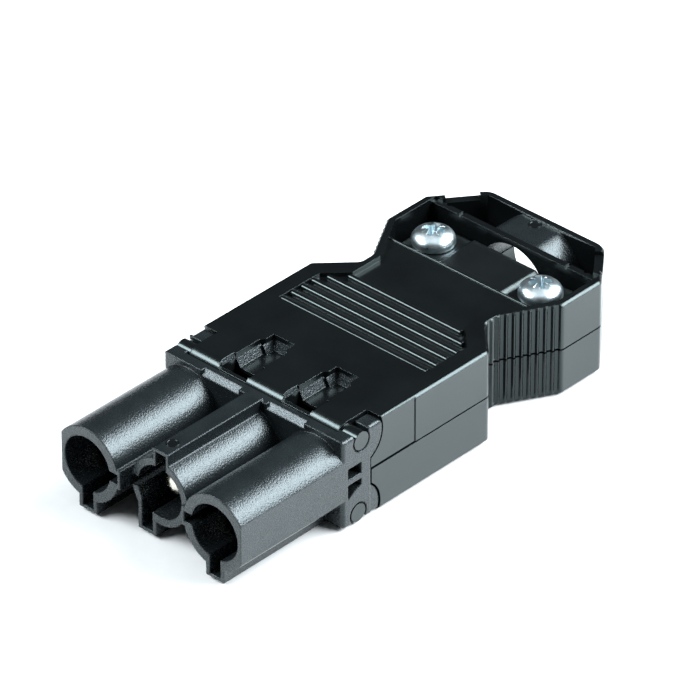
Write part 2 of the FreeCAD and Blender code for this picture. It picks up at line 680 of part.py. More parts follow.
def is_plate_edge(edge, ear_x, front, crest):
    """Tells the longer outer top edges and the upright front edges of the side plates."""
    box = edge.BoundBox
    outside = min(abs(box.XMin), abs(box.XMax)) > ear_x - TOUCH and box.XLength < TOUCH
    along_top = abs(box.ZMin - crest) < TOUCH and box.ZLength < TOUCH
    up_front = abs(box.YMin - front) < TOUCH and box.YLength < TOUCH
    return outside and edge.Length > 2 * size.ear_round.value and (along_top or up_front)


def seat_barrels(body, inner_x, top, bottom):
    """Hollow seats in which the hinge barrels of both shells turn, open to the back."""
    reach = inner_x + size.ear_gap
    upper_radius = size.height - size.upper_pivot_z + size.seat_gap
    lower_radius = size.lower_pivot_z + size.seat_gap
    upper = circle(size.upper_pivot_y, size.upper_pivot_z, upper_radius)
    lower = circle(size.lower_pivot_y, size.lower_pivot_z, lower_radius)
    pocket(body, "YZ", [upper, lower], -reach, reach)
    back = size.plate_back_y + size.overcut
    above, under = top + size.overcut, bottom - size.overcut
    behind_upper = rectangle(size.upper_pivot_y, back, size.upper_pivot_z - upper_radius, above)
    over_upper = rectangle(size.upper_pivot_y - upper_radius, size.upper_pivot_y, size.upper_pivot_z, above)
    behind_lower = rectangle(size.lower_pivot_y, back, under, size.lower_pivot_z + lower_radius)
    under_lower = rectangle(size.lower_pivot_y - lower_radius, size.lower_pivot_y, under, size.lower_pivot_z)
    pocket(body, "YZ", [behind_upper, behind_lower], -reach, reach)
    pocket(body, "YZ", [over_upper, under_lower], -reach, reach)


def cut_lead_in(body, top):
    """Sloped lead-in strips on the flange's top edge, in front of the latch bars."""
    front = size.flange_front_y
    past = size.edge_break
    wedge = [(front - past, top - size.lead_in - past), (front + size.lead_in + past, top + past),
             (front - past, top + past)]
    pocket(body, "YZ", [wedge], size.lead_in_from_x, size.lead_in_to_x)
    pocket(body, "YZ", [wedge], -size.lead_in_to_x, -size.lead_in_from_x)


def add_tubes(body):
    """Outer forms of the three tubes with the boxes round their key slots."""
    pitch, axis_z = size.tube_pitch, size.tube_axis_z
    root_y = size.flange_front_y + size.flange_inset
    key_half = size.key_slot / 2 + size.key_wall
    side_half = size.side_key_slot / 2 + size.key_wall
    bore = size.tube_bore_radius / 2
    outer_tubes = [circle(side * pitch, axis_z, size.tube_outer_radius) for side in (-1, 1)]
    pad(body, "XZ", outer_tubes, size.tube_front_y, root_y)
    bottom_key = rectangle(pitch - key_half, pitch + key_half, size.key_bottom_z, axis_z - bore)
    side_key = rectangle(pitch - size.side_key_reach, pitch - bore, axis_z - side_half, axis_z + side_half)
    pad(body, "XZ", both_sides(bottom_key) + both_sides(side_key), size.tube_front_y, root_y)
    trim = rectangle(size.half_width, pitch + size.tube_outer_radius + size.overcut, 0, size.height)
    pocket(body, "XZ", both_sides(trim), size.tube_front_y - size.overcut, root_y)

    front = size.middle_front_y
    pad(body, "XZ", [circle(0, axis_z, size.middle_outer_radius)], front, root_y)
    fin = rectangle(size.fin_offset - size.fin_half_width, size.fin_offset + size.fin_half_width,
                    axis_z + bore, size.fin_top_z)
    offset = -size.middle_key_offset
    low_key = rectangle(offset - key_half, offset + key_half, size.key_bottom_z, axis_z - bore)
    pad(body, "XZ", [fin, low_key], front, root_y)


def bore_tubes(body):
    """Round bores and key slots of the tubes, and the holes that carry the pins."""
    pitch, axis_z = size.tube_pitch, size.tube_axis_z
    half = size.key_slot / 2
    side_half = size.side_key_slot / 2
    front, floor_y = size.tube_front_y, size.tube_floor_y
    bore = size.tube_bore_radius / 2
    bores = [circle(pitch, axis_z, size.tube_bore_radius), circle(-pitch, axis_z, size.tube_bore_radius),
             circle(0, axis_z, size.middle_bore_radius)]
    pocket(body, "XZ", bores, front, floor_y)
    key_floor = size.key_bottom_z + size.key_web
    reach = size.side_key_reach - size.key_web
    offset = -size.middle_key_offset
    slots = both_sides(rectangle(pitch - half, pitch + half, key_floor, axis_z - bore))
    slots += both_sides(rectangle(pitch - reach, pitch - bore, axis_z - side_half, axis_z + side_half))
    fin_half = size.fin_half_width - size.key_web
    slots.append(rectangle(size.fin_offset - fin_half, size.fin_offset + fin_half,
                           axis_z + bore, size.fin_top_z - size.key_web))
    slots.append(rectangle(offset - half, offset + half, key_floor, axis_z - bore))
    side_slot_x = size.side_key_reach - pitch + size.key_web
    slots.append(rectangle(side_slot_x, -bore, axis_z - side_half, axis_z + side_half))
    pocket(body, "XZ", slots, front, floor_y)
    hole = size.shank_radius + size.pin_play
    holes = [circle(place, axis_z, hole) for place in pole_places()]
    pocket(body, "XZ", holes, floor_y - size.overcut, size.plate_back_y + size.overcut)


def pole_places():
    return (-size.tube_pitch, as_size(0), size.tube_pitch)


def block_places():
    """Blocks of the outer poles stand a little nearer the middle than their pins."""
    outer = size.tube_pitch - size.block_inset
    return (-outer, as_size(0), outer)


def add_tray(body):
    """Floor and walls behind the flange that hold the three terminal blocks."""
    outer = block_places()[2] + size.block_width / 2 + size.tray_play + size.tray_wall
    start = size.plate_back_y - size.flange_inset
    floor = rectangle(-outer, outer, start, size.tray_back_y)
    pad(body, "XY", [floor], size.tray_floor_z, size.tray_floor_z + size.tray_floor)
    walls = []
    for place in block_places():
        for side in (-1, 1):
            near = place + side * (size.block_width / 2 + size.tray_play)
            far = near + side * size.tray_wall
            left, right = (near, far) if side > 0 else (far, near)
            walls.append(rectangle(left, right, start, size.tray_back_y))
    pad(body, "XY", walls, size.tray_floor_z + size.tray_floor / 2, size.tray_top_z)


def block_frame():
    """Front face, floor and top of the terminal blocks."""
    front = size.plate_back_y + size.pin_neck
    floor = size.tray_floor_z + size.tray_floor
    return front, floor, floor + size.block_height


def build_contact_pin(document, side, place, tip_y):
    """Turned pin with a bevelled tip and a thinner shank through the carrier into its block."""
    body = make_body(document, f"contact_pin_{side}")
    axis = size.tube_axis_z
    shank_y = size.tube_floor_y - size.shank_relief
    block_y = block_frame()[0]
    pad(body, "XZ", [circle(place, axis, size.pin_radius)], tip_y, shank_y)
    break_edges(body, size.tip_break, lambda edge: edge.BoundBox.YMax < tip_y.value + TOUCH)
    pad(body, "XZ", [circle(place, axis, size.shank_radius)], shank_y, block_y + size.block_front_wall)
    return body


def screw_station():
    """Place along the block where its screw presses on the wire."""
    front = block_frame()[0]
    return front + size.block_front_wall + (size.block_length - size.block_front_wall) / 2


def build_terminal_block(document, side, place, pin_place):
    """Brass block with a slot for the wire, a threaded hole above it and a bore for the pin."""
    body = make_body(document, f"terminal_block_{side}")
    front, floor, top = block_frame()
    back = front + size.block_length
    half = size.block_width / 2
    pad(body, "XY", [rectangle(place - half, place + half, front, back)], floor, top)
    slot_half = size.wire_slot / 2
    slot_floor = floor + size.wire_slot_floor
    slot = rectangle(place - slot_half, place + slot_half, slot_floor, slot_floor + size.wire_slot_height)
    pocket(body, "XZ", [slot], front + size.block_front_wall, back)
    bore = circle(pin_place, size.tube_axis_z, size.shank_radius + size.pin_play)
    pocket(body, "XZ", [bore], front, front + size.block_front_wall)
    hole = circle(place, screw_station(), size.terminal_screw_radius + size.terminal_screw_play)
    pocket(body, "XY", [hole], slot_floor + size.wire_slot_height / 2, top)
    return body


def guard_top():
    """Level where the screw tip meets its guard, under the roof of the wire slot."""
    floor = block_frame()[1]
    return floor + size.wire_slot_floor + size.wire_slot_height - size.guard_play


def build_terminal_screw(document, side, place):
    """Cheese-head screw, drawn up so that a wire can enter."""
    body = make_body(document, f"terminal_screw_{side}")
    head_z = block_frame()[2] + size.terminal_travel + size.guard_play
    top = head_z + size.terminal_head
    station = screw_station()
    pad(body, "XY", [circle(place, station, size.terminal_screw_radius)], guard_top(), top)
    pad(body, "XY", [circle(place, station, size.terminal_head_radius)], head_z, top)
    reach = size.terminal_head_radius + size.overcut
    slot = rectangle(place - reach, place + reach,
                     station - size.terminal_slot / 2, station + size.terminal_slot / 2)
    pocket(body, "XY", [slot], top - size.terminal_head / 2, top)
    return body


def build_wire_guard(document, side, place):
    """Thin leaf between the screw tip and the wire."""
    body = make_body(document, f"wire_guard_{side}")
    half = size.wire_slot / 2 - size.guard_play
    station = screw_station()
    front, back = station - size.guard_length / 2, station + size.guard_length / 2
    leaf = rectangle(place - half, place + half, front, back)
    pad(body, "XY", [leaf], guard_top() - size.guard_thickness, guard_top())
    return body


def build_cable_clamp(document):
    """Bridge with a raised plate, a hollow saddle below it and an ear for each screw."""
    body = make_body(document, "cable_clamp")
    bottom = size.clamp_bottom_z
    ear_top = bottom + size.clamp_ear
    right = [(size.saddle_flat, bottom + size.saddle_rise), (size.saddle_half_width, bottom),
             (size.clamp_half_width, bottom), (size.clamp_half_width, ear_top),
             (size.plate_half_width + size.plate_slope, ear_top), (size.plate_half_width, size.clamp_top_z)]
    front = size.screw_y - size.clamp_length / 2
    back = size.screw_y + size.clamp_length / 2
    pad(body, "XZ", [closed(right)], front, back)
    radius = size.screw_radius + size.clamp_hole_play
    pocket(body, "XY", screw_circles(radius), bottom, ear_top)
    return body


def build_clamp_screw(document, side, place):
    """Pan-head screw with a cross recess, standing through the clamp into its post."""
    body = make_body(document, f"clamp_screw_{side}")
    head_z = size.clamp_bottom_z + size.clamp_ear
    top = head_z + size.screw_head
    pad(body, "XY", [circle(place, size.screw_y, size.screw_head_radius)], head_z, top)
    break_edges(body, size.screw_head_break, lambda edge: edge.BoundBox.ZMin > top.value - TOUCH)
    shank = circle(place, size.screw_y, size.screw_radius)
    pad(body, "XY", [shank], size.screw_tip_z, head_z + size.screw_head / 2)
    half, reach = size.recess_width / 2, size.recess_half_length
    along = rectangle(place - half, place + half, size.screw_y - reach, size.screw_y + reach)
    across = rectangle(place - reach, place + reach, size.screw_y - half, size.screw_y + half)
    pocket(body, "XY", [along], top - size.recess_depth, top)
    pocket(body, "XY", [across], top - size.recess_depth, top)
    return body


def check_features(document):
    """Stops if any object failed or a pad or pocket changed nothing."""
    for item in document.Objects:
        if "Invalid" in item.State or "Error" in item.State:
            raise RuntimeError(f"{item.Name} failed: {item.getStatusString()}")
        if item.TypeId in ("PartDesign::Pad", "PartDesign::Pocket") and item.BaseFeature:
            change = item.Shape.Volume - item.BaseFeature.Shape.Volume
            wrong = change < TOUCH if item.TypeId.endswith("Pad") else change > -TOUCH
            if wrong:
                raise RuntimeError(f"{item.Name} in {item.getParentGeoFeatureGroup().Label} changes nothing")


def export(bodies):
    os.makedirs("parts", exist_ok=True)
    for body in bodies:
        shape = body.Shape
        if shape.isNull() or not shape.isValid():
            raise RuntimeError(f"{body.Label} has no valid shape")
        print(f"{body.Label}: {len(shape.Solids)} solid, {shape.Volume:.1f} mm3")
        shape.exportStep(f"parts/{body.Label}.step")


document = FreeCAD.newDocument("ac_connector")
size = make_sheet(document)
pieces = [build_contact_carrier(document), build_upper_housing(document), build_lower_housing(document)]
pieces.append(build_cable_clamp(document))
pieces.append(build_clamp_screw(document, "left", -size.screw_x))
pieces.append(build_clamp_screw(document, "right", size.screw_x))
sides = ("left", "middle", "right")
tips = (size.outer_tip_y, size.middle_tip_y, size.outer_tip_y)
for side, pin_place, block_place, tip_y in zip(sides, pole_places(), block_places(), tips):
    pieces.append(build_contact_pin(document, side, pin_place, tip_y))
    pieces.append(build_terminal_block(document, side, block_place, pin_place))
    pieces.append(build_terminal_screw(document, side, block_place))
    pieces.append(build_wire_guard(document, side, block_place))
document.recompute()
check_features(document)
export(pieces)
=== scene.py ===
# %% [markdown]
# # A three-pole AC plug, dressed for a studio picture
#
# The plug comes from CAD as a set of solids that already have the right size and place.
# This lesson gives them their finishes, replaces the small turned pieces by finer ones and sets up
# the picture. Blender works in metres here, +Z is up and +Y points towards the cable.
# Sizes below are in millimetres and are multiplied by MM where they reach Blender.

# %% Load the solids
import json
import math
import bmesh
import bpy
from mathutils import Matrix, Vector


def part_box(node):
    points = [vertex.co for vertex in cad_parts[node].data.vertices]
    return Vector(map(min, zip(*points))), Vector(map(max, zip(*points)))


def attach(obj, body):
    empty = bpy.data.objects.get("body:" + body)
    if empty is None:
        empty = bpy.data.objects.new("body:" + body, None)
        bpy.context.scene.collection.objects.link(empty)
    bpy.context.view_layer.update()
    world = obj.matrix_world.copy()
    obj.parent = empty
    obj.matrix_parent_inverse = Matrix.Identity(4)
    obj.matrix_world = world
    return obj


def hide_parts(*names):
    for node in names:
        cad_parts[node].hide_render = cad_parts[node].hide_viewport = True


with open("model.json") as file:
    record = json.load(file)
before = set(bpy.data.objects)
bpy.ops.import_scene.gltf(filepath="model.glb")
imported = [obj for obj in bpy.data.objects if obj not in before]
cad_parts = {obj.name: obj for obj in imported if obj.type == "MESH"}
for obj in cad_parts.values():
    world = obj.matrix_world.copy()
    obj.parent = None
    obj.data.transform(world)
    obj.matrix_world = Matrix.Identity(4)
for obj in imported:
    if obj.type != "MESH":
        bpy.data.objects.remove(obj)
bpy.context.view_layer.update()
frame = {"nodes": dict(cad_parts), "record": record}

MM = 0.001
print("solids:", len(frame["nodes"]))

# %% [markdown]
# ## The camera
#
# The photograph was taken from the front right, about 34 degrees above the table, through a long lens.
# A long lens keeps parallel edges parallel, so the camera stands a metre away and zooms in.
# A small shift moves the plug to its place in the picture without turning the camera.
# Camera and lamps all look at one point in the middle of the plug, so one helper stands them there.

# %% Helpers for camera and lamps
target = Vector((0.0, 1.5, 8.0)) * MM


def put_in_scene(name, data):
    """Makes an object of some data and links it to the scene."""
    item = bpy.data.objects.new(name, data)
    bpy.context.scene.collection.objects.link(item)
    return item


def look_at_plug(item, direction, distance):
    """Stands a camera or lamp in a direction from the plug, at a distance in metres, and turns it there."""
    toward = Vector(direction).normalized()
    item.location = target + toward * distance
    item.rotation_euler = toward.to_track_quat("Z", "Y").to_euler()


print("point looked at in mm:", [round(value / MM, 1) for value in target])

# %% Camera at the photograph's viewing angle
PICTURE_SIDE = 700  # pixels, as are the next two
FOCAL_LENGTH = 7196
PICTURE_CENTRE = (360.4, 374.1)
SENSOR_WIDTH = 36.0
NEAREST_SEEN = 50.0

camera_data = bpy.data.cameras.new("studio_camera")
camera_data.sensor_width = SENSOR_WIDTH
camera_data.lens = SENSOR_WIDTH * FOCAL_LENGTH / PICTURE_SIDE
camera_data.shift_x = 0.5 - PICTURE_CENTRE[0] / PICTURE_SIDE
camera_data.shift_y = PICTURE_CENTRE[1] / PICTURE_SIDE - 0.5
camera_data.clip_start = NEAREST_SEEN * MM
camera = put_in_scene("studio_camera", camera_data)
look_at_plug(camera, direction=(0.563, -0.611, 0.557), distance=1.068)
bpy.context.scene.camera = camera
print("camera lens in mm:", round(camera_data.lens, 1))

# %% [markdown]
# ## Colours
#
# Colours are easiest to read as the hex values of a picture program, but the renderer works with linear
# light. One function converts them along the sRGB curve, which has a short straight toe.

# %% From hex values to linear light
def linear(hex_colour):
    channels = [int(hex_colour[place:place + 2], 16) / 255 for place in (1, 3, 5)]
    steps = [value / 12.92 if value <= 0.04045 else ((value + 0.055) / 1.055) ** 2.4
             for value in channels]
    return (*steps, 1.0)


print("linear value of mid grey:", round(linear("#808080")[0], 3))

# %% [markdown]
# ## Nodes
#
# A finish is a small network of shader nodes. One function adds a node, sets its values and links
# its inputs, so that each finish below reads as a short list. Patterns are given by a real size in
# millimetres, and a second function turns that into the scale of a texture.

# %% Helpers for every finish
def add_node(tree, kind, settings=None, inputs=None, stops=()):
    """Adds a node with its own settings, its input values or links, and the stops of a colour ramp."""
    node = tree.nodes.new(kind)
    for name, value in (settings or {}).items():
        setattr(node, name, value)
    for name, value in (inputs or {}).items():
        if isinstance(value, bpy.types.NodeSocket):
            tree.links.new(value, node.inputs[name])
        else:
            node.inputs[name].default_value = value
    for number, (position, colour) in enumerate(stops):
        element = node.color_ramp.elements[number]
        element.position = position
        element.color = linear(colour)
    return node


def start_finish(name):
    finish = bpy.data.materials.new(name)
    finish.use_nodes = True
    finish.node_tree.nodes.clear()
    return finish, finish.node_tree


def per_mm(size):
    """Texture scale for features of a size in millimetres, since texture space is in metres."""
    return 1.0 / (size * MM)


print("texture scale for a grain of 1 mm:", round(per_mm(1.0)))

# %% [markdown]
# ## Edges and skin
#
# No moulded or turned edge is perfectly sharp, and its small radius is what catches the light.
# The radius could be cut into the mesh, but a bevel node bends the light instead and leaves the solid
# as it is. Every finish of the plug ends the same way: rounded edges, a fine relief on top of them,
# then the surface.

# %% Helper that ends a finish
BEVEL_SAMPLES = 6


def end_finish(tree, edge_mm, relief, strength, depth_mm, sockets):
    """Rounds the edges for the light, lays a relief over them and closes the finish with its surface."""
    rounded = add_node(tree, "ShaderNodeBevel", {"samples": BEVEL_SAMPLES}, {"Radius": edge_mm * MM})
    skin = add_node(tree, "ShaderNodeBump", inputs={
        "Height": relief, "Strength": strength, "Distance": depth_mm * MM,
        "Normal": rounded.outputs["Normal"]})
    surface = add_node(tree, "ShaderNodeBsdfPrincipled", inputs={
        **sockets, "Normal": skin.outputs["Normal"]})
    add_node(tree, "ShaderNodeOutputMaterial", inputs={"Surface": surface.outputs["BSDF"]})


print("light samples per rounded edge:", BEVEL_SAMPLES)

# %% [markdown]
# ## Polished black polyamide
#
# The two half-shells are injection moulded in a polished steel tool. Such a skin is nearly black and
# glossy, with a faint waviness from shrinking and a little dust from handling, which only shows as
# a change of gloss. The base stays very dark, so that almost all that the eye sees is the reflection of
# the studio. The reflections are a little blue-green in the photograph, so the specular tint takes
# some red away. The clamp comes from a tool that was blasted, so it is rougher and its edges are softer.

# %% Finish of the half-shells and the clamp
POLYAMIDE_IOR = 1.53
SHRINK_WAVE = 9.0
SHRINK_DEPTH = 0.1
DUST_SPOT = 0.6
DUST_DULLING = 1.25


def smooth_polyamide(name, roughness, edge_mm):
    finish, tree = start_finish(name)
    place = add_node(tree, "ShaderNodeTexCoord").outputs["Object"]
    wave = add_node(tree, "ShaderNodeTexNoise", inputs={
        "Vector": place, "Scale": per_mm(SHRINK_WAVE), "Detail": 2.0})
    dust = add_node(tree, "ShaderNodeTexNoise", inputs={
        "Vector": place, "Scale": per_mm(DUST_SPOT), "Detail": 5.0})
    gloss = add_node(tree, "ShaderNodeMapRange", inputs={
        "Value": dust.outputs["Fac"], "From Min": 0.35, "From Max": 0.75,
        "To Min": roughness, "To Max": roughness * DUST_DULLING})
    tone = add_node(tree, "ShaderNodeValToRGB", inputs={"Fac": wave.outputs["Fac"]},
                    stops=((0.3, "#080A0B"), (0.75, "#0E1112")))
    end_finish(tree, edge_mm, relief=wave.outputs["Fac"], strength=0.1, depth_mm=SHRINK_DEPTH, sockets={
        "Base Color": tone.outputs["Color"], "Roughness": gloss.outputs["Result"],
        "IOR": POLYAMIDE_IOR, "Specular Tint": linear("#DCF1F2")})
    return finish


# A deep black that mirrors the studio.
shell_finish = smooth_polyamide("polished_black_polyamide", roughness=0.2, edge_mm=0.1)
# The same skin over a wider radius, which draws a thin bright line along the roof.
rim_finish = smooth_polyamide("polished_black_polyamide_rim", roughness=0.2, edge_mm=0.5)
# A softer black with broad, dim highlights along its edges.
clamp_finish = smooth_polyamide("blasted_black_polyamide", roughness=0.3, edge_mm=0.6)
print("finishes:", shell_finish.name, rim_finish.name, clamp_finish.name)

# %% [markdown]
# ## Spark-eroded black polyamide
#
# The contact carrier comes from a tool whose steel was spark eroded, which leaves a fine grain of about
# a tenth of a millimetre. Every grain catches the light at its own angle, so the tubes look grey and
# sparkle softly. The real grain is finer than a pixel here, so it is drawn more than twice as coarse.

# %% Finish of the contact carrier
GRAIN = 0.25
GRAIN_DEPTH = 0.08
COLOUR_CLOUD = 4.0


def eroded_polyamide(name, edge_mm):
    finish, tree = start_finish(name)
    place = add_node(tree, "ShaderNodeTexCoord").outputs["Object"]
    grain = add_node(tree, "ShaderNodeTexNoise", inputs={
        "Vector": place, "Scale": per_mm(GRAIN), "Detail": 1.5, "Roughness": 0.6})
    cloud = add_node(tree, "ShaderNodeTexNoise", inputs={
        "Vector": place, "Scale": per_mm(COLOUR_CLOUD), "Detail": 2.0})
    gloss = add_node(tree, "ShaderNodeMapRange", inputs={
        "Value": grain.outputs["Fac"], "From Min": 0.3, "From Max": 0.7, "To Min": 0.22, "To Max": 0.34})
    tone = add_node(tree, "ShaderNodeValToRGB", inputs={"Fac": cloud.outputs["Fac"]},
                    stops=((0.3, "#14181A"), (0.75, "#1B2022")))
    end_finish(tree, edge_mm, relief=grain.outputs["Fac"], strength=0.7, depth_mm=GRAIN_DEPTH, sockets={
        "Base Color": tone.outputs["Color"], "Roughness": gloss.outputs["Result"],
        "IOR": POLYAMIDE_IOR, "Specular Tint": linear("#E4F2F6")})
    return finish


# A grey shimmer with soft edges on the tubes and the flange.
carrier_finish = eroded_polyamide("spark_eroded_black_polyamide", edge_mm=0.35)
# The same grain on the hood, whose edges blend over a wide radius.
hood_finish = eroded_polyamide("spark_eroded_black_polyamide_hood", edge_mm=1.6)
# The same grain on small ledges, whose edges stay crisp.
window_finish = eroded_polyamide("spark_eroded_black_polyamide_window", edge_mm=0.12)
print("finishes:", carrier_finish.name, hood_finish.name, window_finish.name)

# %% [markdown]
# ## Metals
#
# The clamp screws are zinc plated steel, the contacts silver plated brass, the terminal blocks plain
# machined brass and the wire guards stainless leaf. All of them are pure metal to the shader, so the colour
# sits in the reflection, and one recipe serves them all: streaks that change tone and gloss a little.
# The marks that plating, cutter and rolls leave are finer than these streaks, which are drawn coarse
# enough to show.

# %% Finishes of the metal pieces
METAL_EDGE = 0.08
STREAK_DEPTH = 0.03


def plated_metal(name, dark, pale, roughness, streak_mm):
    finish, tree = start_finish(name)
    place = add_node(tree, "ShaderNodeTexCoord").outputs["Object"]
    streak = add_node(tree, "ShaderNodeTexNoise", inputs={
        "Vector": place, "Scale": per_mm(streak_mm), "Detail": 4.0, "Roughness": 0.65})
    tone = add_node(tree, "ShaderNodeValToRGB", inputs={"Fac": streak.outputs["Fac"]},
                    stops=((0.3, dark), (0.7, pale)))
    gloss = add_node(tree, "ShaderNodeMapRange", inputs={
        "Value": streak.outputs["Fac"], "From Min": 0.25, "From Max": 0.75,
        "To Min": roughness * 0.75, "To Max": roughness * 1.3})
    end_finish(tree, METAL_EDGE, relief=streak.outputs["Fac"], strength=0.06, depth_mm=STREAK_DEPTH, sockets={
        "Base Color": tone.outputs["Color"], "Metallic": 1.0, "Roughness": gloss.outputs["Result"]})
    return finish


# Pale and slightly blue, with a soft gloss.
zinc_finish = plated_metal("bright_zinc_plated_steel", "#B7CBD3", "#E8F1F4", roughness=0.32, streak_mm=1.6)
# A warm white with a clear gloss.
silver_finish = plated_metal("silver_plated_brass", "#C9C4B4", "#E6E1D2", roughness=0.22, streak_mm=0.6)
# Yellow with a fine unrest from the cutter.
brass_finish = plated_metal("machined_brass", "#A88545", "#CFAE6A", roughness=0.3, streak_mm=0.4)
# A neutral grey, darker than the zinc.
leaf_finish = plated_metal("rolled_stainless_leaf", "#8E9092", "#B9BBBC", roughness=0.28, streak_mm=0.7)
print("metals:", [finish.name for finish in (zinc_finish, silver_finish, brass_finish, leaf_finish)])

# %% [markdown]
# ## Dressing the solids
#
# The record that comes with the solids names the stuff that each one is made of, its material slot.
# A finish could be given to each solid by hand, but a table from slot to finish dresses all of them
# in one loop, and a finish that changes later changes in one place.

# %% Give every solid its finish
finish_of_slot = {
    "carrier_plastic": carrier_finish, "housing_plastic": shell_finish, "clamp_plastic": clamp_finish,
    "zinc_steel": zinc_finish, "contact_brass": silver_finish, "terminal_brass": brass_finish,
    "guard_steel": leaf_finish}
slot_of_node = {subpart["node"]: subpart["material_slot"] for subpart in frame["record"]["subparts"]}
for node, slot in slot_of_node.items():
    solid = frame["nodes"][node]
    solid.data.materials.clear()
    solid.data.materials.append(finish_of_slot[slot])
print("solids with a finish:", len(slot_of_node))

# %% [markdown]
# ## The hood over the cable
#
# The round hood at the rear was left with the eroded grain of the tool, as the tubes were, so that a thumb
# finds it. It is moulded in one with the upper shell, so it stays one mesh with it. The shell gets
# the grained finish as a further one, and a helper points the faces of the hood to it.

# %% Grained hood
HOOD_FRONT_Y = 37.2
HOOD_RADIUS = 8.45
PARTING_Z = 8.0
upper_shell = frame["nodes"]["upper_housing"].data


def refinish(finish, belongs):
    """Adds a finish to the upper shell, points the faces that belong to it there, and counts them."""
    upper_shell.materials.append(finish)
    faces = [face for face in upper_shell.polygons if belongs(face)]
    for face in faces:
        face.material_index = len(upper_shell.materials) - 1
    return len(faces)


def is_hood(face):
    across, along, up = face.center
    return along > HOOD_FRONT_Y * MM and math.hypot(across, up - PARTING_Z * MM) < HOOD_RADIUS * MM


print("grained faces:", refinish(hood_finish, is_hood))

# %% [markdown]
# ## The rim of the roof
#
# A narrow slope runs along the outer edge of the roof. On the real shell it is a small radius, which shows as
# a thin bright line, while a flat slope would show as a wide band. The slope's faces are found by their
# tilt and pointed to the finish with the wider bevel, which bends the light across them like a radius.

# %% Rounded rim
RIM_LEAST_X = 10.0
RIM_LEAST_Z = 15.3
RIM_TILT = (0.6, 0.8)  # upward share of a face's normal


def is_rim(face):
    faces_outward = face.normal.x * face.center.x > 0
    is_slope = RIM_TILT[0] < face.normal.z < RIM_TILT[1]
    is_at_edge = abs(face.center.x) > RIM_LEAST_X * MM and face.center.z > RIM_LEAST_Z * MM
    return faces_outward and is_slope and is_at_edge


print("rim faces:", refinish(rim_finish, is_rim))

# %% [markdown]
# ## The ledges of the latch windows
#
# A polishing stone doesn't reach into a narrow pocket of a tool, so the steep ledges in the latch windows
# keep the eroded grain. They scatter the light and look pale between the black roof and the black pocket.
# They are found by their tilt as well, inside the strip of the roof that holds the windows.

# %% Grained ledges
WINDOW_STRIP = ((-9.6, 9.6), (-18.75, -8.0), (13.7, 16.0))  # from and to, along X, Y and Z
LEDGE_TILT = (0.4, 0.55)


def is_ledge(face):
    is_inside = all(start * MM < place < end * MM for place, (start, end) in zip(face.center, WINDOW_STRIP))
    return is_inside and LEDGE_TILT[0] < face.normal.z < LEDGE_TILT[1]


print("ledge faces:", refinish(window_finish, is_ledge))

# %% [markdown]
# ## A lathe for meshes
#
# Screws and pins come from a lathe, so they are made the same way: a profile of radius and height is turned
# about an axis. A cylinder from the menu would need many edits, while a profile keeps the mesh clean and
# every ring even. A radius may also be a function of the turning angle, which is how the threads come about.

# %% Helpers for turned pieces
def turned(profile, steps=64):
    """Closed shape about the Z axis from (radius, height) rows in mm that start and end on the axis."""
    shape = bmesh.new()
    turns = [2 * math.pi * step / steps for step in range(steps)]
    rings = []
    for radius, height in profile:
        if radius == 0:
            rings.append([shape.verts.new((0, 0, height * MM))])
            continue
        ring = []
        for turn in turns:
            reach = radius(turn) if callable(radius) else radius
            corner = (reach * MM * math.cos(turn), reach * MM * math.sin(turn), height * MM)
            ring.append(shape.verts.new(corner))
        rings.append(ring)
    for low, high in zip(rings, rings[1:]):
        for step in range(steps):
            after = (step + 1) % steps
            corners = [low[step % len(low)], low[after % len(low)],
                       high[after % len(high)], high[step % len(high)]]
            shape.faces.new(list(dict.fromkeys(corners)))
    return shape


def as_mesh(shape, name):
    mesh = bpy.data.meshes.new(name)
    shape.to_mesh(mesh)
    shape.free()
    return mesh


trial_cone = turned([(0, 0), (1, 0), (0, 1)], steps=8)
print("faces of a small trial cone:", len(trial_cone.faces))
trial_cone.free()

# %% [markdown]
# ## Threads
#
# A thread is a ridge that winds about a core. Each row of the profile asks how far the ridge has wound at its
# height, so the radius depends on both the height and the turning angle. At the tip the whole thread tapers,
# as on a screw that has to find its hole.

# %% Helper for threaded shanks
ROWS_PER_TURN = 10
RIDGE_SHARE = 0.5
TIP_SHARE = 0.45


def thread_rows(core, crest, pitch, bottom, top, tip):
    """Profile rows of a threaded shank whose tip tapers over a length."""
    count = int((top - bottom) / pitch * ROWS_PER_TURN)
    rows = [(0, bottom)]
    for number in range(count + 1):
        height = bottom + (top - bottom) * number / count
        taper = min(1.0, TIP_SHARE + (1.0 - TIP_SHARE) * (height - bottom) / tip)

        def reach(turn, height=height, taper=taper):
            share = (height / pitch - turn / (2 * math.pi)) % 1.0
            ridge = max(0.0, 1.0 - abs(share - 0.5) / (RIDGE_SHARE / 2))
            return taper * (core + (crest - core) * ridge)

        rows.append((reach, height))
    rows.append((0, top))
    return rows


print("rows for two turns of a thread:", len(thread_rows(1.0, 1.2, 1.0, 0.0, 2.0, 1.0)))

# %% [markdown]
# ## Recesses
#
# A driver recess is punched into the head. Here a cutter is taken out of the head with a boolean
# modifier, which gives crisp walls wherever the cutter meets the dome. The result is read back as
# a plain mesh, and the two helper objects go again.

# %% Helper that carves a recess
def carved(solid, cutter):
    """Mesh of a shape with a second shape taken out of it."""
    kept = put_in_scene("solid", as_mesh(solid, "solid"))
    taken = put_in_scene("cutter", as_mesh(cutter, "cutter"))
    change = kept.modifiers.new("recess", "BOOLEAN")
    change.object = taken
    change.operation = "DIFFERENCE"
    change.solver = "EXACT"
    evaluated = kept.evaluated_get(bpy.context.evaluated_depsgraph_get())
    result = bpy.data.meshes.new_from_object(evaluated)
    for item in (kept, taken):
        bpy.data.objects.remove(item)
    return result


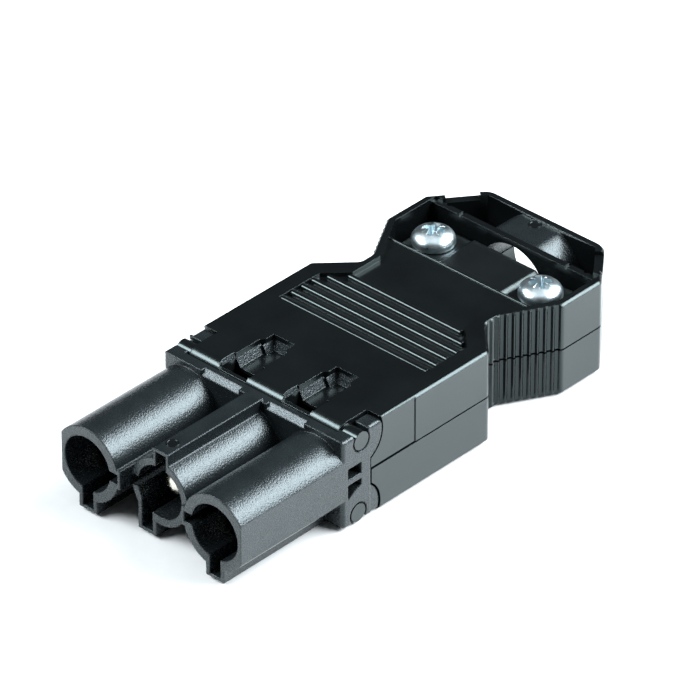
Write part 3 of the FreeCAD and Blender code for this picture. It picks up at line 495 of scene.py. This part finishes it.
trial_cup = carved(turned([(0, 0), (2, 0), (2, 2), (0, 2)]), turned([(0, 1), (1, 1), (1, 3), (0, 3)]))
print("faces of a trial cup:", len(trial_cup.polygons))
bpy.data.meshes.remove(trial_cup)

# %% [markdown]
# ## Taking the place of a solid
#
# The CAD solids of the screws and pins are plain. Each finer mesh is put exactly where its solid is,
# takes over the finish, rides on the same moving body and is shown instead of the solid. Its length and
# place are measured on the solid, so the mesh follows if the solid is moved.

# %% Helpers for pieces that stand in for a solid
SHARP_DEGREES = 32


def join_meshes(meshes, name):
    shape = bmesh.new()
    for mesh in meshes:
        shape.from_mesh(mesh)
    return as_mesh(shape, name)


def stand_in(mesh, node, body, place):
    """Shows a mesh at a place instead of a CAD solid, with that solid's finish, on its body."""
    mesh.transform(place)
    mesh.shade_smooth()
    mesh.set_sharp_from_angle(angle=math.radians(SHARP_DEGREES))
    mesh.materials.clear()
    mesh.materials.append(finish_of_slot[slot_of_node[node]])
    piece = put_in_scene(node + "_turned", mesh)
    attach(piece, body)
    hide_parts(node)
    return piece


def upright(node):
    """Head radius and length of an upright screw in millimetres, and the place of its top."""
    low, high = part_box(node)
    radius = (high[0] - low[0]) / 2 / MM
    length = (high[2] - low[2]) / MM
    top = Matrix.Translation(((low[0] + high[0]) / 2, (low[1] + high[1]) / 2, high[2]))
    return radius, length, top


print("radius of a clamp screw's head in mm:", round(upright("clamp_screw_left")[0], 2))

# %% [markdown]
# ## Clamp screws
#
# Each clamp screw has a pan head with a rounded rim and a cross recess, and small ticks between the arms that
# tell the kind of driver. The head is turned, and the recess is cut out of it with a tapered cross.
# The shank is a coarse thread that forms its own path in the plastic post.

# %% Pan head
HEAD_HEIGHT = 2.68
HEAD_DOME = 2.0
DOME_POWER = 0.95
UNDERSIDE_EDGE = 0.2
DOME_STEPS = 12


def pan_head(radius):
    profile = [(0, -HEAD_HEIGHT), (radius - UNDERSIDE_EDGE, -HEAD_HEIGHT),
               (radius, UNDERSIDE_EDGE - HEAD_HEIGHT)]
    for step in range(DOME_STEPS):
        turn = math.pi / 2 * step / DOME_STEPS
        reach = radius * math.cos(turn) ** DOME_POWER
        profile.append((reach, HEAD_DOME * (math.sin(turn) ** DOME_POWER - 1)))
    profile.append((0, 0))
    return turned(profile, steps=96)


print("head height in mm:", HEAD_HEIGHT)

# %% Cutter for the cross recess
RECESS_REACH = 1.95
RECESS_WIDTH = 1.0
RECESS_DEPTH = 1.7
CUTTER_RISE = 0.5
FLOOR_SHARE = 0.45  # share of the arms' reach that is left at the bottom
RISE_SHARE = 1.15
WIDTH_TAPER = 0.65
TICK_PLACE = 1.55
TICK_SIZE = (1.3, 0.16, 0.6)


def cross_cutter(spin):
    """Tapered cross with four shallow ticks between its arms, turned by an angle."""
    shape = bmesh.new()
    layers = []
    for height, share in ((-RECESS_DEPTH, FLOOR_SHARE), (CUTTER_RISE, RISE_SHARE)):
        reach = RECESS_REACH * share
        half = RECESS_WIDTH / 2 * (1 - WIDTH_TAPER + WIDTH_TAPER * share)
        layer = []
        for quarter in range(4):
            turn = Matrix.Rotation(spin + quarter * math.pi / 2, 3, "Z")
            for across, along in ((reach, -half), (reach, half), (half, half)):
                layer.append(shape.verts.new(turn @ Vector((across, along, height)) * MM))
        layers.append(layer)
    low, high = layers
    shape.faces.new(reversed(low))
    shape.faces.new(high)
    for place, corner in enumerate(low):
        after = (place + 1) % len(low)
        shape.faces.new((corner, low[after], high[after], high[place]))
    tick = Matrix.Translation((TICK_PLACE * MM, 0, 0)) @ Matrix.Diagonal((*(Vector(TICK_SIZE) * MM), 1))
    for quarter in range(4):
        turn = Matrix.Rotation(spin + (quarter + 0.5) * math.pi / 2, 4, "Z")
        bmesh.ops.create_cube(shape, size=1.0, matrix=turn @ tick)
    return shape


print("recess across in mm:", 2 * RECESS_REACH)

# %% Both clamp screws
SHANK_OVERLAP = 0.3
spin_degrees = {"clamp_screw_left": 20, "clamp_screw_right": 52}

for node, degrees in spin_degrees.items():
    radius, length, top = upright(node)
    head = carved(pan_head(radius), cross_cutter(math.radians(degrees)))
    rows = thread_rows(core=1.2, crest=1.68, pitch=1.4, tip=2.2,
                       bottom=-length, top=SHANK_OVERLAP - HEAD_HEIGHT)
    shank = as_mesh(turned(rows, steps=40), "shank")
    screw = stand_in(join_meshes((head, shank), node), node, node, top)
    print(screw.name, "length in mm:", round(length, 1), "faces:", len(screw.data.polygons))

# %% [markdown]
# ## Contact pins
#
# A contact pin is a turned brass rod with a rounded nose, so that it slides into the mating socket.
# Its shank is thinner where it passes through the carrier, and the end of the shank sits in the terminal
# block. The nose is a quarter of an ellipse, which the lathe helper takes as a few more rows.

# %% Pins with a rounded nose
PIN_RADIUS = 2.0
SHANK_RADIUS = 1.8
SHANK_LENGTH = 12.0
NOSE_LENGTH = 1.3
NOSE_STEPS = 14
BROKEN_EDGE = 0.1


def contact_pin(length):
    """Pin along Z with its nose at the top."""
    profile = [(0, 0), (SHANK_RADIUS - BROKEN_EDGE, 0), (SHANK_RADIUS, BROKEN_EDGE),
               (SHANK_RADIUS, SHANK_LENGTH), (PIN_RADIUS - BROKEN_EDGE, SHANK_LENGTH),
               (PIN_RADIUS, SHANK_LENGTH + BROKEN_EDGE)]
    for step in range(NOSE_STEPS):
        turn = math.pi / 2 * step / NOSE_STEPS
        profile.append((PIN_RADIUS * math.cos(turn), length - NOSE_LENGTH * (1 - math.sin(turn))))
    profile.append((0, length))
    return as_mesh(turned(profile), "pin")


for side in ("left", "middle", "right"):
    node = "contact_pin_" + side
    low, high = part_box(node)
    length = (high[1] - low[1]) / MM
    shank_end = Matrix.Translation(((low[0] + high[0]) / 2, high[1], (low[2] + high[2]) / 2))
    nose_forward = Matrix.Rotation(math.pi / 2, 4, "X")
    pin = stand_in(contact_pin(length), node, "carrier", shank_end @ nose_forward)
    print(pin.name, "length in mm:", round(length, 1))

# %% [markdown]
# ## Terminal screws
#
# The wires are held by small cheese-head screws with a slot. They show only when the upper shell is open,
# but then the slot and the thread are what tells them from plain studs. A saw cuts the real slot right across
# the head, so the cutter here is a bar that is longer than the head is wide.

# %% Slotted terminal screws
TERMINAL_HEAD = 0.8
TERMINAL_OVERLAP = 0.2
SLOT_WIDTH = 0.8
SLOT_DEPTH = 0.45
SLOT_LENGTH = 2.4  # in radii of the head
slot_degrees = {"left": 35, "middle": 80, "right": 12}


def cheese_head(radius):
    return turned([(0, -TERMINAL_HEAD), (radius - BROKEN_EDGE, -TERMINAL_HEAD),
                   (radius, BROKEN_EDGE - TERMINAL_HEAD), (radius, -2 * BROKEN_EDGE),
                   (radius - 2 * BROKEN_EDGE, 0), (0, 0)])


for side, degrees in slot_degrees.items():
    node = "terminal_screw_" + side
    radius, length, top = upright(node)
    saw = bmesh.new()
    groove = Matrix.Diagonal((SLOT_LENGTH * radius * MM, SLOT_WIDTH * MM, 2 * SLOT_DEPTH * MM, 1))
    turn = Matrix.Rotation(math.radians(degrees), 4, "Z")
    bmesh.ops.create_cube(saw, size=1.0, matrix=turn @ groove)
    head = carved(cheese_head(radius), saw)
    rows = thread_rows(core=1.2, crest=1.48, pitch=0.6, tip=0.6,
                       bottom=-length, top=TERMINAL_OVERLAP - TERMINAL_HEAD)
    shank = as_mesh(turned(rows, steps=32), "shank")
    screw = stand_in(join_meshes((head, shank), node), node, "terminal_" + side, top)
    print(screw.name, "length in mm:", round(length, 1), "faces:", len(screw.data.polygons))

# %% [markdown]
# ## Ejector marks
#
# Steel pins push a moulding out of its tool and leave shallow round marks. One shows on the fin of the middle
# tube and one on the hood. Each is a thin disc that is sunk into the plastic, with a ring that stands up
# a tenth of a millimetre. The end of such a pin is ground, so the mark is smoother than the grain around it.

# %% Marks on the fin and the hood
MARK_RADIUS = 1.0
MARK_RISE = 0.1
MARK_SINK = 0.1
DISC_RISE = 0.01
RING_TOP = 0.16
RING_FOOT = 0.2


def ejector_mark(name, body, place):
    profile = [(0, -MARK_SINK), (MARK_RADIUS, -MARK_SINK), (MARK_RADIUS, MARK_RISE),
               (MARK_RADIUS - RING_TOP, MARK_RISE), (MARK_RADIUS - RING_FOOT, DISC_RISE), (0, DISC_RISE)]
    mesh = as_mesh(turned(profile, steps=48), name)
    mesh.transform(Matrix.Translation(Vector(place) * MM))
    mesh.materials.append(shell_finish)
    mark = put_in_scene(name, mesh)
    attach(mark, body)
    return mark


fin_mark = ejector_mark("ejector_mark_fin", "carrier", (0.1, -38.6, 15.8))
hood_mark = ejector_mark("ejector_mark_hood", "upper", (-0.5, 41.0, 15.5))
print("ejector marks:", fin_mark.name, hood_mark.name)

# %% [markdown]
# ## Floor
#
# The picture has a white ground. A sheet of paper would only be white, but the upright sides of the plug
# also need light from below. So the floor is an acrylic sheet with a satin skin: to the eye it is white,
# and it mirrors the lamps softly onto the sides.

# %% Satin acrylic floor
FLOOR_REACH = 3000.0
FLOOR_GAP = 0.2
FLOOR_CLOUD = 2.0
ACRYLIC_IOR = 1.49

floor_finish, floor_tree = start_finish("satin_white_acrylic_sheet")
floor_place = add_node(floor_tree, "ShaderNodeTexCoord").outputs["Object"]
floor_cloud = add_node(floor_tree, "ShaderNodeTexNoise", inputs={
    "Vector": floor_place, "Scale": per_mm(FLOOR_CLOUD)})
floor_tone = add_node(floor_tree, "ShaderNodeValToRGB", inputs={"Fac": floor_cloud.outputs["Fac"]},
                      stops=((0.2, "#F4F4F4"), (0.8, "#F8F8F8")))
floor_surface = add_node(floor_tree, "ShaderNodeBsdfPrincipled", inputs={
    "Base Color": floor_tone.outputs["Color"], "Roughness": 0.3, "IOR": ACRYLIC_IOR})
add_node(floor_tree, "ShaderNodeOutputMaterial", inputs={"Surface": floor_surface.outputs["BSDF"]})

floor_mesh = bpy.data.meshes.new("floor")
floor_signs = ((-1, -1), (1, -1), (1, 1), (-1, 1))
floor_corners = [(x * FLOOR_REACH * MM, y * FLOOR_REACH * MM, 0) for x, y in floor_signs]
floor_mesh.from_pydata(floor_corners, [], [(0, 1, 2, 3)])
floor_mesh.materials.append(floor_finish)
floor = put_in_scene("floor", floor_mesh)
floor.location.z = -FLOOR_GAP * MM
print("floor side in m:", 2 * FLOOR_REACH * MM)

# %% [markdown]
# ## Lamps
#
# A wide softbox at the right and back draws the pale bands along the tubes. One at the front left fills the
# shadow and picks out the edges that face it, and a weak one overhead whitens the floor. All of them stand
# high, because a low lamp would turn the glossy roof white when it is seen from the far side.
# The room itself stays dim, because a black glossy roof mirrors whatever is behind it.

# %% Softboxes and a dim room
STUDIO_WHITE = linear("#F0F7FB")
ROOM_STRENGTH = 0.055


def softbox(name, direction, distance, width, height, power):
    """Rectangular lamp that looks at the plug, with distance and sides in metres and power in watts."""
    lamp_data = bpy.data.lights.new(name, "AREA")
    lamp_data.shape = "RECTANGLE"
    lamp_data.size = width
    lamp_data.size_y = height
    lamp_data.energy = power
    lamp_data.color = STUDIO_WHITE[:3]
    lamp = put_in_scene(name, lamp_data)
    look_at_plug(lamp, direction, distance)
    return lamp


lamps = [
    softbox("right_back_softbox", (0.53, 0.58, 0.62), distance=0.8, width=0.8, height=0.42, power=21.5),
    softbox("front_left_softbox", (-0.54, -0.54, 0.65), distance=0.8, width=0.6, height=0.26, power=9.5),
    softbox("overhead_softbox", (0.05, -0.1, 1.0), distance=0.9, width=0.9, height=0.9, power=2.4),
]
world = bpy.data.worlds.new("dim_studio")
bpy.context.scene.world = world
world.use_nodes = True
background = world.node_tree.nodes["Background"]
background.inputs["Color"].default_value = STUDIO_WHITE
background.inputs["Strength"].default_value = ROOM_STRENGTH
bpy.context.scene.view_settings.view_transform = "Standard"
print("lamps:", [lamp.name for lamp in lamps])
